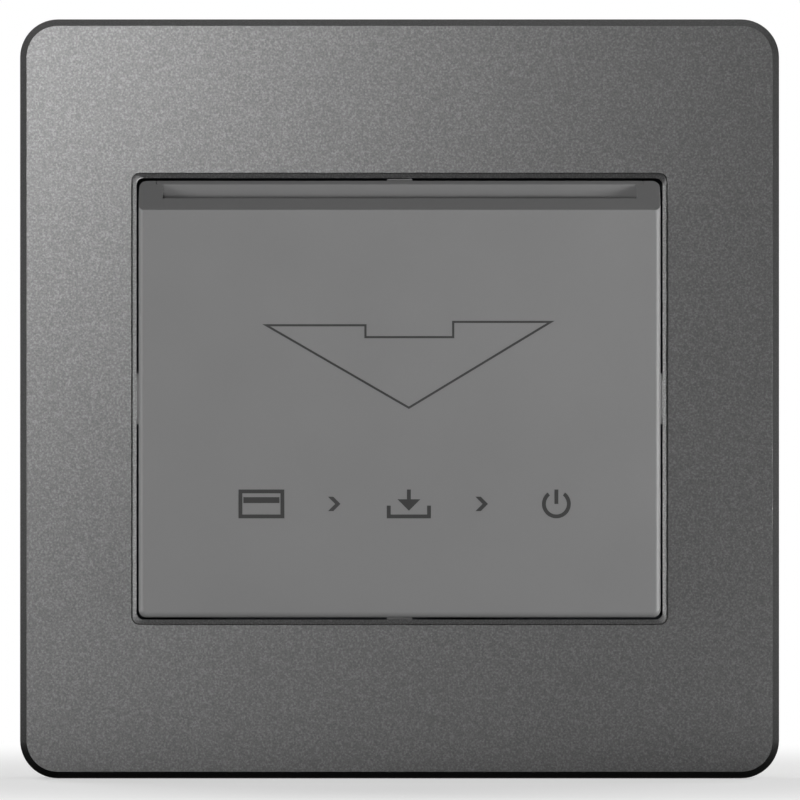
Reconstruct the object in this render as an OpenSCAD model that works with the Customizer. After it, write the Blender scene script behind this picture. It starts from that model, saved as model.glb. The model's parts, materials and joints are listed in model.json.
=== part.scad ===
// Hotel key card switch for a square wall box.
// A painted wall frame holds a raised card panel with a slot along its top. The card slides
// down between the panel and the cradle behind it, and pushes back a small lever, which
// presses a microswitch on the circuit board. The board, its relay and the wire terminals sit
// in a housing that goes into the wall box.
// Sizes are in millimetres. The front faces -Y, z is up, and y = 0 is the face of the wall.

/* [Wall frame] */
// Side of the square frame
frame_size = 90; // [88:0.5:100]
// How far the frame stands off the wall
frame_depth = 8.5; // [8:0.1:10]
// Thickness of the frame's walls
frame_wall = 2; // [1.6:0.1:2.4]
// Radius of the frame's outer corners
frame_corner_r = 4.5; // [3:0.1:8]
// Width of the sloping edge around the frame's face
frame_slope_w = 0.85; // [0.4:0.05:1.5]
// Depth of the sloping edge, front to back
frame_slope_d = 1.5; // [0.6:0.1:2]

/* [Card and pocket] */
// Width of the key card
card_w = 54; // [52:0.1:58]
// Play beside the card on each side
card_play = 1; // [0.5:0.1:1.5]
// Depth of the pocket, front to back
card_gap = 2; // [1.4:0.1:3]
// How far the pocket's back wall stands in front of the frame's face
pocket_lift = 0.5; // [0.3:0.1:1.5]
// Height of the card stops above the pocket's floor
stop_lift = 6.8; // [5:0.1:9]

/* [Card panel] */
// Height of the panel
panel_h = 51.6; // [48:0.1:56]
// Width of the shoulder beside each end of the slot
panel_shoulder = 2.8; // [2.4:0.1:3.6]
// Thickness of the panel's front wall
panel_wall = 1.7; // [1.2:0.1:2.4]
// Thickness of the skirt that goes into the frame
skirt_wall = 1.8; // [1.4:0.1:2]
// How far the skirt goes behind the frame's face
skirt_depth = 3; // [2:0.1:3.4]
// Height of the sloping strip along the panel's top
bevel_h = 3.5; // [2.5:0.1:5]
// Rounding of the panel's front edges
panel_edge_r = 0.7; // [0.3:0.1:0.8]
// Radius of the panel's corners
panel_corner_r = 0.9; // [0.9:0.1:1.4]
// Length of the centring lugs at the sides
side_lug_l = 6; // [4:0.5:10]
// Length of the centring lugs at the top and bottom
end_lug_l = 3; // [2:0.5:6]
// How far the lugs lie behind the frame's face
lug_drop = 0.3; // [0.2:0.1:1.5]

/* [Window of the frame] */
// Gap between the panel and the window, at the back of the window
window_gap = 0.45; // [0.3:0.05:0.8]
// How much further the window opens towards its front
window_draft = 0.45; // [0.2:0.05:0.8]
// Radius of the window's corners
window_corner_r = 1; // [0.6:0.1:2]
// Depth of the collar around the window, behind the frame's face
collar_depth = 3.5; // [3:0.1:5]
// Thickness of the collar
collar_wall = 1.4; // [1:0.1:2]

/* [Support plate] */
// Thickness of the plate
plate_t = 2.5; // [2.2:0.1:3.2]
// Gap between the plate's edge and the frame's wall
plate_play = 0.9; // [0.5:0.1:1.4]
// Distance between the two wall-box screws
screw_pitch = 60.3; // [60:0.1:62]
// Width of the slots for the wall-box screws
screw_slot_w = 4.4; // [3.6:0.1:4.8]
// Length of the slots for the wall-box screws
screw_slot_l = 8; // [6:0.1:8.4]
// Width of a screw head with room for its driver
screw_head_room = 9.5; // [8:0.1:10]
// Width of the frame's snap hooks
hook_w = 8; // [5:0.5:12]
// Thickness of the snap hooks
hook_t = 1.6; // [1.2:0.1:2]
// How far a hook's nose catches behind the plate
hook_nose = 0.7; // [0.4:0.1:1]
// Distance of the hooks from the middle
hook_spread = 22; // [14:0.5:26]

/* [Card cradle] */
// Thickness of the cradle's walls
cradle_wall = 1.8; // [1.4:0.1:2.2]
// Radius of the cradle's screw bosses
cradle_boss_r = 2.5; // [2.2:0.1:2.8]
// Height of the screw bosses above and below the middle
cradle_boss_z = 13; // [10:0.5:14]

/* [Card lever] */
// Width of the lever
lever_w = 8; // [7:0.1:10]
// Thickness of the lever's arm
lever_t = 1.8; // [1.4:0.1:2.2]
// Pivot to the tip of the lever's nose
lever_reach = 14; // [12:0.1:16]
// Pivot to the microswitch's plunger
plunger_arm = 8.5; // [7.5:0.1:9]
// Diameter of the pivot pin
pin_d = 2; // [1.6:0.1:2.2]
// Thickness of the ears that hold the pin
ear_t = 2.2; // [1.6:0.1:3]
// Wire of the return spring
spring_wire = 0.4; // [0.3:0.05:0.45]
// Turns of the return spring
spring_turns = 4; // [3:1:4]

/* [Microswitch] */
// Length of the microswitch
switch_l = 19.8; // [18:0.1:22]
// Height of the microswitch, from the board to its top
switch_h = 10.2; // [9:0.1:11]
// Thickness of the microswitch
switch_t = 6.4; // [5.6:0.1:7]
// How far the plunger stands out of its case
plunger_rise = 1.4; // [1.3:0.1:2]
// Width of the plunger
plunger_w = 3; // [2.4:0.1:4]
// Thickness of the plunger
plunger_t = 1.8; // [1.4:0.1:2]

/* [Circuit board] */
// Thickness of the board
board_t = 1.6; // [1.2:0.1:2]
// Gap between the board's edge and the housing
board_play = 0.4; // [0.2:0.1:0.8]
// Length of the relay
relay_l = 29; // [26:0.1:31]
// Width of the relay
relay_w = 12.7; // [11:0.1:13.5]
// Height of the relay
relay_h = 15.7; // [15:0.1:18]
// Length of the film capacitor
film_l = 18; // [15:0.1:19]
// Width of the film capacitor
film_w = 8.5; // [7:0.1:9]
// Height of the film capacitor
film_h = 14.5; // [12:0.1:15]
// Diameter of the electrolytic capacitor
can_d = 8; // [6:0.1:8.5]
// Height of the electrolytic capacitor
can_h = 12.5; // [10:0.1:15]
// Diameter of the varistor
varistor_d = 9.2; // [8:0.1:9.6]

/* [Rear housing and terminals] */
// Thickness of the housing's walls
housing_wall = 1.8; // [1.4:0.1:2]
// Room between the housing and the slots of the wall-box screws
post_clear = 1.15; // [0.6:0.05:1.4]
// Radius of the housing's corner bosses
housing_boss_r = 3; // [2.6:0.1:3.2]
// Distance from one wire terminal to the next
terminal_pitch = 7.6; // [7.2:0.1:8]
// Diameter of the hole that takes the wire
wire_bore_d = 4; // [3:0.1:4.2]
// Height of the brass pillars
pillar_h = 8; // [7:0.1:9]
// Depth of the brass pillars, front to back
pillar_d = 9; // [8:0.1:10]
// Diameter of the clamp screws
clamp_screw_d = 3.2; // [2.6:0.1:3.5]

/* [Hidden] */
$fn = 48;
hull_fn = 32;
edge_steps = 6;
over = 1;
sink = 0.3;

// Clearances
fit_gap = 0.2;
lug_gap = 0.2;
pin_fit = 0.02;
pivot_fit = 0.05;
slide_fit = 0.1;
thread_fit = 0.05;
lever_gap = 0.3;
touch_gap = 0.05;
lead_fit = 0.1;
seat_fit = 0.1;
wall_merge = 0.2;

// Front to back
y_face = -frame_depth;
y_cavity = y_face + frame_wall;
y_collar = y_face + collar_depth;
y_pocket_back = y_face - pocket_lift;
y_pocket_front = y_pocket_back - card_gap;
y_front = y_pocket_front - panel_wall;
y_skirt = y_face + skirt_depth;
y_plate = -plate_t;

// Frame, window and panel
cavity = frame_size - 2 * frame_wall;
cavity_corner_r = max(frame_corner_r - frame_wall, 0.5);
slot_w = card_w + 2 * card_play;
panel_w = slot_w + 2 * panel_shoulder;
panel_top = panel_h / 2;
pocket_floor = -panel_h / 2 + skirt_wall;
z_bevel = panel_top - bevel_h;
window_back_w = panel_w + 2 * window_gap;
window_back_h = panel_h + 2 * window_gap;
window_w = window_back_w + 2 * window_draft;
window_h = window_back_h + 2 * window_draft;

// Support plate and hooks
plate_size = cavity - 2 * plate_play;
plate_corner_r = max(cavity_corner_r - plate_play, 0.5);
hook_rim = 3.2;
hook_out = plate_size / 2 - hook_rim;
hook_in = hook_out - hook_t;
hook_pocket = 1.2;
hook_end = 0.3;

// Card cradle
cradle_w = panel_w - 2 * (skirt_wall + fit_gap);
cradle_low = pocket_floor + fit_gap;
cradle_inner_w = cradle_w - 2 * cradle_wall;
cradle_inner_low = cradle_low + cradle_wall;
y_wall_back = y_pocket_back + cradle_wall;
boss_merge = 0.5;
cradle_boss_x = cradle_inner_w / 2 - cradle_boss_r + boss_merge;
z_stop = pocket_floor + stop_lift;
stop_t = 2;
stop_l = 10;
stop_x = 17;
snap_h = 0.35;
snap_t = 0.8;
snap_l = 6;
snap_z = 13;
snap_inset = 1.2;

// Cradle screws, countersunk
cradle_screw_r = 1.3;
cradle_screw_head_r = 2.4;
cradle_screw_head_h = 1.1;
cradle_screw_l = 6;

// Card lever
nose_half = 0.75;
nose_lead = 6;
nose_tail = 2.25;
nose_w = 6;
nose_room = 0.4;
nose_lift = 2;
foot_drop = 3.4;
foot_h = 2;
pad_h = 0.8;
pad_l = 3;
hub_wall = 1;
hub_r = pin_d / 2 + hub_wall;
hub_relief = 0.6;
arm_set = 0.2;
y_pivot = y_wall_back + fit_gap + hub_r;
z_pivot = z_stop + nose_lift + nose_half + lever_reach;
arm_back = y_pivot + arm_set;
arm_front = arm_back - lever_t;
y_nose = y_pocket_front + nose_room;
pad_back = arm_back + pad_h;
arm_top = z_pivot - hub_r - hub_relief;
foot_low = z_pivot - lever_reach - foot_drop - foot_h;
ear_in = lever_w / 2 + lever_gap;
ear_out = ear_in + ear_t;
ear_foot = 2;
window_room = 0.5;
window_top = z_pivot - lever_reach + nose_lead - window_room;
window_low = z_pivot - lever_reach - nose_tail - window_room;

// Return spring, wound about the pivot pin
coil_room = 0.3;
coil_air = 0.5;
coil_r = pin_d / 2 + coil_room + spring_wire / 2;
coil_pitch = spring_wire + coil_air;
coil_start = -18;
coil_end = 360 * spring_turns + 54;
spring_half = coil_pitch * (coil_end / 360 - spring_turns / 2) + spring_wire / 2 + touch_gap;
rings_per_turn = 8;
wire_sides = 6;

// Microswitch
plunger_z = z_pivot - plunger_arm;
plunger_tip = pad_back + touch_gap;
y_switch = plunger_tip + plunger_rise;
plunger_depth = 2;
plunger_travel = 1.3;
switch_shift = 1.7;
switch_split = 1.6;
switch_hole_r = 1.2;
switch_hole_pitch = 9.5;
switch_hole_y = 7.3;
pin_pitch = 7.6;
pin_stub = 0.9;

// Circuit board and what stands on it
y_board = y_switch + switch_h;
y_board_back = y_board + board_t;
housing_size = screw_pitch - screw_slot_l - 2 * post_clear;
housing_inner = housing_size - 2 * housing_wall;
housing_corner_r = 2;
housing_boss = housing_inner / 2 - housing_boss_r + wall_merge;
board_size = housing_inner - 2 * board_play;
board_notch = housing_boss - housing_boss_r - board_play;
tallest = max(relay_h, film_h, can_h);
back_room = 0.8;
y_housing_in = y_board_back + tallest + back_room;
y_housing = y_housing_in + housing_wall;
board_post_r = 2.5;
board_post_x = housing_inner / 2 - board_post_r + wall_merge;
board_post_z = 7;
board_screw_r = 1.1;
board_screw_head_r = 2.1;
board_screw_head_h = 1.5;
board_screw_l = 6;
lead_r = 0.4;
relay_x = 0.5;
relay_low = -5.5;
relay_z = relay_low + relay_w / 2;
relay_base_h = 1.5;
relay_pin_r = 0.5;
relay_pin_inset = 3;
relay_pin_x = relay_l / 2 - relay_pin_inset;
relay_pin_z = relay_w / 2 - relay_pin_inset;
part_gap = 1.2;
row_low = relay_low + relay_w + part_gap;
film_x = -8;
lead_inset = 1.5;
film_lead = film_l / 2 - lead_inset;
film_z = row_low + film_w / 2;
can_x = film_x + film_l / 2 + part_gap + can_d / 2;
can_z = row_low + can_d / 2;
can_lead = 1.75;
varistor_t = 4.5;
varistor_x = can_x + can_d / 2 + part_gap + varistor_d / 2;
varistor_z = row_low + 2 * part_gap + varistor_t / 2;
varistor_lead = 2.5;
varistor_lift = 1;
y_varistor = y_board_back + varistor_lift + varistor_d / 2;
varistor_foot = y_varistor - sqrt(pow(varistor_d / 2, 2) - pow(varistor_lead - lead_r, 2));

// Small parts on the front of the board, clear of the leads that come through it
diode = [4.3, 2.2, 2.6];
diode_step = 6;
diode_z = max(film_z, can_z, varistor_z) + lead_r + part_gap + diode.z / 2;
resistor = [6.3, 0.6, 3.2];
resistor_step = 8;
resistor_z = (relay_z + relay_pin_z + min(film_z, can_z, varistor_z)) / 2;
chip = [4.9, 1.5, 3.9];
chip_x = -4;
chip_leg = 1;
transistor = [2.9, 1.1, 1.4];
transistor_x = 5;

// Screws that hold the housing
housing_screw_r = 1.25;
housing_screw_head_r = 2.5;
housing_screw_head_h = 1.6;
housing_screw_l = 9;
plate_lip = 1;
plate_open_w = 2 * min(housing_inner / 2 - plate_lip, cradle_boss_x - cradle_boss_r - boss_merge);
plate_open_h = 2 * min(housing_inner / 2 - plate_lip, -cradle_inner_low);

// Wire terminals
terminal_count = 4;
terminal_wall = 1.4;
pillar_w = terminal_pitch - terminal_wall - 2 * seat_fit;
block_half = terminal_pitch * terminal_count / 2 + terminal_wall / 2;
block_low = -housing_size / 2;
wire_guide_l = 3.5;
pillar_low = block_low + wire_guide_l;
pillar_top = pillar_low + pillar_h;
block_top = pillar_top + seat_fit + terminal_wall;
pillar_lift = 3.8;
y_pillar = y_board_back + pillar_lift;
y_pillar_back = y_pillar + pillar_d;
y_wire = y_pillar + pillar_d / 2;
entry_room = 0.3;
wire_entry_r = wire_bore_d / 2 + entry_room;
clamp_z = pillar_low + pillar_h / 2;
clamp_head_rim = 1;
clamp_head_r = clamp_screw_d / 2 + clamp_head_rim;
clamp_head_h = 2.2;
clamp_tip = y_wire + wire_bore_d / 2 + seat_fit;
driver_hole_r = clamp_head_r + entry_room;
pillar_leg_r = 0.7;

both = [-1, 1];
corners = [[-1, -1], [1, -1], [1, 1], [-1, 1]];
terminal_xs = [for (i = [0 : terminal_count - 1]) (i - (terminal_count - 1) / 2) * terminal_pitch];

// A box between two corners
module block(low, high) {
    translate(low) cube(high - low);
}

// A flat outline in x and z, made solid from y_back towards the front
module slab(y_back, y_front) {
    translate([0, y_back, 0])
        rotate([90, 0, 0]) linear_extrude(y_back - y_front) children();
}

// An outline in y and z, made solid along x
module prism_x(x_low, x_high) {
    translate([x_low, 0, 0])
        rotate([90, 0, 90]) linear_extrude(x_high - x_low) children();
}

// Round bars along y, x and z
module rod_y(r, x, z, y_low, y_high) {
    translate([x, y_low, z]) rotate([-90, 0, 0]) cylinder(r = r, h = y_high - y_low);
}

module rod_x(r, y, z, x_low, x_high) {
    translate([x_low, y, z]) rotate([0, 90, 0]) cylinder(r = r, h = x_high - x_low);
}

module rod_z(r, x, y, z_low, z_high) {
    translate([x, y, z_low]) cylinder(r = r, h = z_high - z_low);
}

module rounded_rect(w, h, r) {
    square([w - 2 * r, h], center = true);
    square([w, h - 2 * r], center = true);
    for (c = corners)
        translate([c.x * (w / 2 - r), c.y * (h / 2 - r)]) circle(r);
}

module slot_outline(l, w) {
    square([l - w, w], center = true);
    for (x = both)
        translate([x * (l - w) / 2, 0]) circle(w / 2);
}

// A plate with round corners whose front edge is rounded as well
module soft_plate(w, h, corner_r, edge_r, y_back, y_front) {
    depth = y_back - y_front;
    edge = min(edge_r, corner_r - 0.05);
    arc = [for (i = [0 : edge_steps]) let (a = 90 * i / edge_steps)
        [corner_r - edge + edge * cos(a), depth - edge + edge * sin(a)]];
    hull()
        for (c = corners)
            translate([c.x * (w / 2 - corner_r), y_back, c.y * (h / 2 - corner_r)])
                rotate([90, 0, 0]) rotate_extrude($fn = hull_fn)
                    polygon(concat([[0, 0], [corner_r, 0]], arc, [[0, depth]]));
}

// The space in front of the sloping strip
module bevel_space() {
    prism_x(-panel_w, panel_w)
        polygon([[y_front, z_bevel], [y_face, panel_top], [y_face, panel_top + over],
            [y_front - over, panel_top + over], [y_front - over, z_bevel]]);
}

// A pan head screw along y: its shank goes towards +y from the seat
module pan_screw(x, z, y_seat, shank_r, shank_l, head_r, head_h) {
    recess = head_h / 2;
    difference() {
        union() {
            rod_y(shank_r, x, z, y_seat - sink, y_seat + shank_l);
            rod_y(head_r, x, z, y_seat - head_h, y_seat);
        }
        for (turn = [0, 90])
            translate([x, y_seat - head_h, z]) rotate([0, turn, 0])
                cube([1.2 * head_r, 2 * recess, 0.3 * head_r], center = true);
    }
}

module window_cut() {
    hull() {
        slab(y_face - over / 100, y_face - 2 * over / 100)
            rounded_rect(window_w, window_h, window_corner_r, $fn = hull_fn);
        slab(y_collar + over / 50, y_collar + over / 100)
            rounded_rect(window_back_w, window_back_h, window_corner_r, $fn = hull_fn);
    }
}

// A snap hook at the top; its nose catches behind the plate
module frame_hook() {
    block([-hook_w / 2, y_cavity - sink, hook_in], [hook_w / 2, -hook_end, hook_out]);
    block([-hook_w / 2, -hook_pocket + touch_gap, hook_out - sink],
        [hook_w / 2, -hook_end, hook_out + hook_nose]);
}

// A lug that keeps the window centred round the panel, at the right
module centring_lug(half_span, lug_l) {
    block([half_span - sink, y_face + lug_drop, -lug_l / 2],
        [half_span + window_gap - lug_gap, y_skirt, lug_l / 2]);
}

// The outside of the frame, whose face is set in by a straight slope
module frame_block() {
    face = frame_size - 2 * frame_slope_w;
    face_corner_r = max(frame_corner_r - frame_slope_w, 0.5);
    y_slope = y_face + frame_slope_d;
    hull() {
        slab(0, y_slope) rounded_rect(frame_size, frame_size, frame_corner_r, $fn = hull_fn);
        slab(y_slope, y_face) rounded_rect(face, face, face_corner_r, $fn = hull_fn);
    }
}

module face_frame() {
    color("#8f9092")
    difference() {
        union() {
            difference() {
                frame_block();
                slab(over, y_cavity) rounded_rect(cavity, cavity, cavity_corner_r);
            }
            slab(y_collar, y_cavity - sink)
                rounded_rect(window_w + 2 * collar_wall, window_h + 2 * collar_wall,
                    window_corner_r + collar_wall);
            for (side = [0, 180])
                for (x = both)
                    rotate([0, side, 0]) translate([x * hook_spread, 0, 0]) frame_hook();
        }
        window_cut();
    }
}

module card_panel() {
    inner = panel_w / 2 - skirt_wall;
    color("#777879") {
        difference() {
            soft_plate(panel_w, panel_h, panel_corner_r, panel_edge_r, y_skirt, y_front);
            bevel_space();
            block([-slot_w / 2, y_pocket_front, pocket_floor],
                [slot_w / 2, y_pocket_back + sink, panel_top + over]);
            block([-inner, y_pocket_back, pocket_floor], [inner, y_skirt + over, panel_top + over]);
        }
        for (side = [0, 180])
            rotate([0, side, 0]) centring_lug(panel_w / 2, side_lug_l);
        rotate([0, 90, 0]) centring_lug(panel_h / 2, end_lug_l);
        // ridges that snap into the cradle's sides
        for (side = both)
            for (z = [-snap_z, snap_z])
                translate([side * inner, y_skirt - snap_inset, z])
                    cube([2 * snap_h, snap_t, snap_l], center = true);
    }
}

module cradle_ear(side) {
    low = side > 0 ? ear_in : -ear_out;
    prism_x(low, low + ear_t)
        polygon([[y_wall_back - sink, z_pivot - hub_r - ear_foot], [y_pivot + hub_r, z_pivot - hub_r],
            [y_pivot + hub_r, z_pivot + hub_r], [y_wall_back - sink, z_pivot + hub_r + ear_foot]]);
}

module card_cradle() {
    color("#6d6e70")
    difference() {
        union() {
            difference() {
                block([-cradle_w / 2, y_pocket_back, cradle_low], [cradle_w / 2, y_plate, panel_top]);
                block([-cradle_inner_w / 2, y_wall_back, cradle_inner_low],
                    [cradle_inner_w / 2, y_plate + over, panel_top - cradle_wall]);
                bevel_space();
                // opening for the lever's nose
                block([-nose_w / 2 - window_room, y_pocket_back - over, window_low],
                    [nose_w / 2 + window_room, y_wall_back + over, window_top]);
            }
            for (x = both)
                for (z = both)
                    rod_y(cradle_boss_r, x * cradle_boss_x, z * cradle_boss_z,
                        y_wall_back - sink, y_plate);
            // stops under the card
            for (x = both)
                translate([x * stop_x, 0, 0])
                    block([-stop_l / 2, y_pocket_front + slide_fit, z_stop - stop_t],
                        [stop_l / 2, y_pocket_back + sink, z_stop]);
            for (side = both)
                cradle_ear(side);
            rotate([0, 270, 0]) centring_lug(panel_h / 2, end_lug_l);
        }
        // room for the wall-box screws and their driver
        for (x = both)
            rod_y(screw_head_room / 2, x * screw_pitch / 2, 0, y_pocket_back - over, y_plate + over);
        for (x = both)
            for (z = both)
                rod_y(cradle_screw_r + thread_fit, x * cradle_boss_x, z * cradle_boss_z,
                    y_plate - cradle_screw_l + plate_t - sink, y_plate + over);
        rod_x(pin_d / 2 + pin_fit, y_pivot, z_pivot, -ear_out - over, ear_out + over);
        // room for the heads of the housing's screws
        for (c = corners)
            rod_y(housing_screw_head_r + fit_gap, c.x * housing_boss, c.y * housing_boss,
                y_plate - housing_screw_head_h - fit_gap, y_plate + over);
        // grooves for the panel's ridges
        for (side = both)
            for (z = [-snap_z, snap_z])
                translate([side * cradle_w / 2, y_skirt - snap_inset, z])
                    cube([2 * (snap_h + touch_gap), snap_t + 2 * fit_gap, snap_l + 2 * fit_gap],
                        center = true);
    }
}

module plate_opening() {
    difference() {
        square([plate_open_w, plate_open_h], center = true);
        for (c = corners)
            translate(c * housing_boss) circle(housing_boss_r + plate_lip);
    }
}

module support_plate() {
    color("#3b3d40")
    difference() {
        slab(0, y_plate)
            difference() {
                rounded_rect(plate_size, plate_size, plate_corner_r);
                plate_opening();
                // slots for the wall-box screws
                for (x = both)
                    translate([x * screw_pitch / 2, 0])
                        slot_outline(screw_slot_l, screw_slot_w);
                for (c = corners)
                    translate(c * housing_boss) circle(housing_screw_r + fit_gap);
                for (x = both)
                    for (z = both)
                        translate([x * cradle_boss_x, z * cradle_boss_z])
                            circle(cradle_screw_r + fit_gap);
            }
        // countersinks for the cradle's screws
        for (x = both)
            for (z = both)
                translate([x * cradle_boss_x, 0, z * cradle_boss_z]) rotate([90, 0, 0])
                    cylinder(r1 = cradle_screw_head_r + fit_gap, r2 = cradle_screw_r + fit_gap,
                        h = cradle_screw_head_h + fit_gap);
        // slots and pockets for the frame's hooks
        for (side = [0, 180])
            for (x = both)
                rotate([0, side, 0]) translate([x * hook_spread, 0, 0]) {
                    block([-hook_w / 2 - fit_gap, y_plate - over, hook_in - hook_nose - fit_gap],
                        [hook_w / 2 + fit_gap, over, hook_out + fit_gap]);
                    block([-hook_w / 2 - fit_gap, -hook_pocket, hook_in - hook_nose - fit_gap],
                        [hook_w / 2 + fit_gap, over, hook_out + hook_nose + fit_gap]);
                }
    }
}

module cradle_screws() {
    color("#b9bcc0")
    for (x = both)
        for (z = both)
            translate([x * cradle_boss_x, -fit_gap, z * cradle_boss_z]) rotate([90, 0, 0])
                difference() {
                    union() {
                        cylinder(r1 = cradle_screw_head_r, r2 = cradle_screw_r,
                            h = cradle_screw_head_h);
                        cylinder(r = cradle_screw_r, h = cradle_screw_l - fit_gap);
                    }
                    for (turn = [0, 90])
                        rotate(turn)
                            cube([1.1 * cradle_screw_head_r, 0.3 * cradle_screw_head_r,
                                cradle_screw_head_h], center = true);
                }
}

module card_lever() {
    z_tip = z_pivot - lever_reach;
    color("#e8e6de")
    difference() {
        union() {
            // two halves of the hub, with room for the spring between them
            for (side = both) {
                low = side > 0 ? spring_half : -lever_w / 2;
                rod_x(hub_r, y_pivot, z_pivot, low, low + lever_w / 2 - spring_half);
                block([low, arm_front, arm_top - sink],
                    [low + lever_w / 2 - spring_half, arm_back, z_pivot]);
            }
            block([-lever_w / 2, arm_front, foot_low], [lever_w / 2, arm_back, arm_top]);
            // nose that reaches across the pocket
            prism_x(-nose_w / 2, nose_w / 2)
                polygon([[arm_front + sink, z_tip + nose_lead], [arm_front, z_tip + nose_lead],
                    [y_nose, z_tip + nose_half], [y_nose, z_tip - nose_half],
                    [arm_front, z_tip - nose_tail], [arm_front + sink, z_tip - nose_tail]]);
            // foot that rests on the back of the cradle's wall
            block([-lever_w / 2, y_wall_back + touch_gap, foot_low],
                [lever_w / 2, arm_front + sink, foot_low + foot_h]);
            // pad that presses the plunger
            block([-lever_w / 2, arm_back - sink, plunger_z - pad_l / 2],
                [lever_w / 2, pad_back, plunger_z + pad_l / 2]);
        }
        rod_x(pin_d / 2 + pivot_fit, y_pivot, z_pivot, -lever_w, lever_w);
    }
}

module lever_pin() {
    color("#c4c7ca") rod_x(pin_d / 2, y_pivot, z_pivot, -ear_out, ear_out);
}

// A point of the return spring's coil at angle a, and the direction of its wire there
function coil_point(a) = [coil_pitch * (a - 360 * spring_turns / 2) / 360,
    y_pivot + coil_r * cos(a), z_pivot + coil_r * sin(a)];
function coil_way(a) = [0, -sin(a), cos(a)];
// How far a leg runs along its direction until it meets a wall at height y
function leg_l(a, y) = (y - coil_point(a).y) / coil_way(a).y;
function unit(v) = v / norm(v);

lever_seat = arm_back + spring_wire / 2 + touch_gap;
wall_seat = y_wall_back + spring_wire / 2 + touch_gap;
coil_steps = ceil((coil_end - coil_start) / 360 * rings_per_turn);
coil_path = [for (i = [0 : coil_steps])
    coil_point(coil_start + (coil_end - coil_start) * i / coil_steps)];
spring_path = concat(
    [coil_point(coil_start) + leg_l(coil_start, lever_seat) * coil_way(coil_start)],
    coil_path,
    [coil_point(coil_end) + leg_l(coil_end, wall_seat) * coil_way(coil_end)]);
spring_last = len(spring_path) - 1;
far_apart = round(rings_per_turn / 2);
spring_gap = min([for (i = [0 : spring_last]) for (j = [0 : spring_last])
    if (j - i >= far_apart) norm(spring_path[j] - spring_path[i])]) - spring_wire;
echo(least_gap_between_the_spring_and_itself = spring_gap);

// A round wire along a path whose direction is never along x
module wire(path, r, sides) {
    last = len(path) - 1;
    way = [for (i = [0 : last]) unit(path[min(i + 1, last)] - path[max(i - 1, 0)])];
    across = [for (t = way) unit(cross(t, [1, 0, 0]))];
    points = [for (i = [0 : last]) for (s = [0 : sides - 1])
        let (a = 360 * s / sides, up = cross(way[i], across[i]))
        path[i] + r * (cos(a) * across[i] + sin(a) * up)];
    walls = [for (i = [0 : last - 1]) for (s = [0 : sides - 1])
        let (n = (s + 1) % sides, p = i * sides, q = p + sides)
        each [[p + s, q + s, q + n], [p + s, q + n, p + n]]];
    ends = [for (s = [1 : sides - 2])
        each [[0, s, s + 1], [last * sides, last * sides + s + 1, last * sides + s]]];
    polyhedron(points, concat(walls, ends));
}

module lever_spring() {
    color("#a9adb2") wire(spring_path, spring_wire / 2, wire_sides);
}

// The microswitch's outline between two heights z, measured from its middle
module switch_half(z_low, z_high) {
    difference() {
        block([switch_shift - switch_l / 2, y_switch, plunger_z + z_low],
            [switch_shift + switch_l / 2, y_board, plunger_z + z_high]);
        for (x = both)
            rod_z(switch_hole_r, switch_shift + x * switch_hole_pitch / 2, y_switch + switch_hole_y,
                plunger_z + z_low - over, plunger_z + z_high + over);
    }
}

module switch_case() {
    color("#26282b")
    difference() {
        switch_half(-switch_t / 2, switch_split);
        block([-plunger_w / 2 - slide_fit, y_switch - over, plunger_z - plunger_t / 2 - slide_fit],
            [plunger_w / 2 + slide_fit, y_switch + plunger_depth + plunger_travel,
                plunger_z + plunger_t / 2 + slide_fit]);
    }
}

module switch_cover() {
    color("#303338") switch_half(switch_split, switch_t / 2);
}

module switch_plunger() {
    tip_r = plunger_t / 2;
    color("#b8362c") {
        block([-plunger_w / 2, plunger_tip + tip_r, plunger_z - tip_r],
            [plunger_w / 2, y_switch + plunger_depth, plunger_z + tip_r]);
        intersection() {
            rod_x(tip_r, plunger_tip + tip_r, plunger_z, -plunger_w / 2, plunger_w / 2);
            block([-plunger_w, plunger_tip - over, plunger_z - plunger_t],
                [plunger_w, plunger_tip + tip_r + sink, plunger_z + plunger_t]);
        }
    }
}

switch_pin_xs = [for (i = [-1 : 1]) switch_shift + i * pin_pitch];

module switch_terminals() {
    color("#c9b37a")
    for (x = switch_pin_xs)
        rod_y(lead_r, x, plunger_z, y_board, y_board_back + pin_stub);
}

// Places on the board, in x and z, of the round leads of the tall components
lead_places = concat(
    [for (x = both) [film_x + x * film_lead, film_z]],
    [for (x = both) [can_x + x * can_lead, can_z]]);
varistor_places = [for (x = both) [varistor_x + x * varistor_lead, varistor_z]];
relay_places = [for (c = corners) [relay_x + c.x * relay_pin_x, relay_z + c.y * relay_pin_z]];

module holes_at(places, r) {
    for (p = places)
        translate(p) circle(r);
}

module circuit_board() {
    color("#2f6b3f")
    slab(y_board_back, y_board)
        difference() {
            square(board_size, center = true);
            for (c = corners)
                translate(c * (board_notch + board_size / 2))
                    square(board_size, center = true);
            for (x = both)
                translate([x * board_post_x, board_post_z]) circle(board_screw_r + fit_gap);
            holes_at(concat(lead_places, varistor_places), lead_r + lead_fit);
            holes_at([for (x = switch_pin_xs) [x, plunger_z]], lead_r + lead_fit);
            holes_at(relay_places, relay_pin_r + lead_fit);
            holes_at([for (x = terminal_xs) [x, clamp_z]], pillar_leg_r + lead_fit);
        }
}

module board_screws() {
    color("#b9bcc0")
    for (x = both)
        pan_screw(x * board_post_x, board_post_z, y_board, board_screw_r, board_screw_l,
            board_screw_head_r, board_screw_head_h);
}

module relay_base() {
    inset = 0.3;
    color("#1f2226")
        block([relay_x - relay_l / 2 + inset, y_board_back, relay_low + inset],
            [relay_x + relay_l / 2 - inset, y_board_back + relay_base_h, relay_low + relay_w - inset]);
}

module relay_case() {
    color("#1d3f78")
    slab(y_board_back + relay_h, y_board_back + relay_base_h)
        translate([relay_x, relay_z]) rounded_rect(relay_l, relay_w, 0.6);
}

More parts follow.
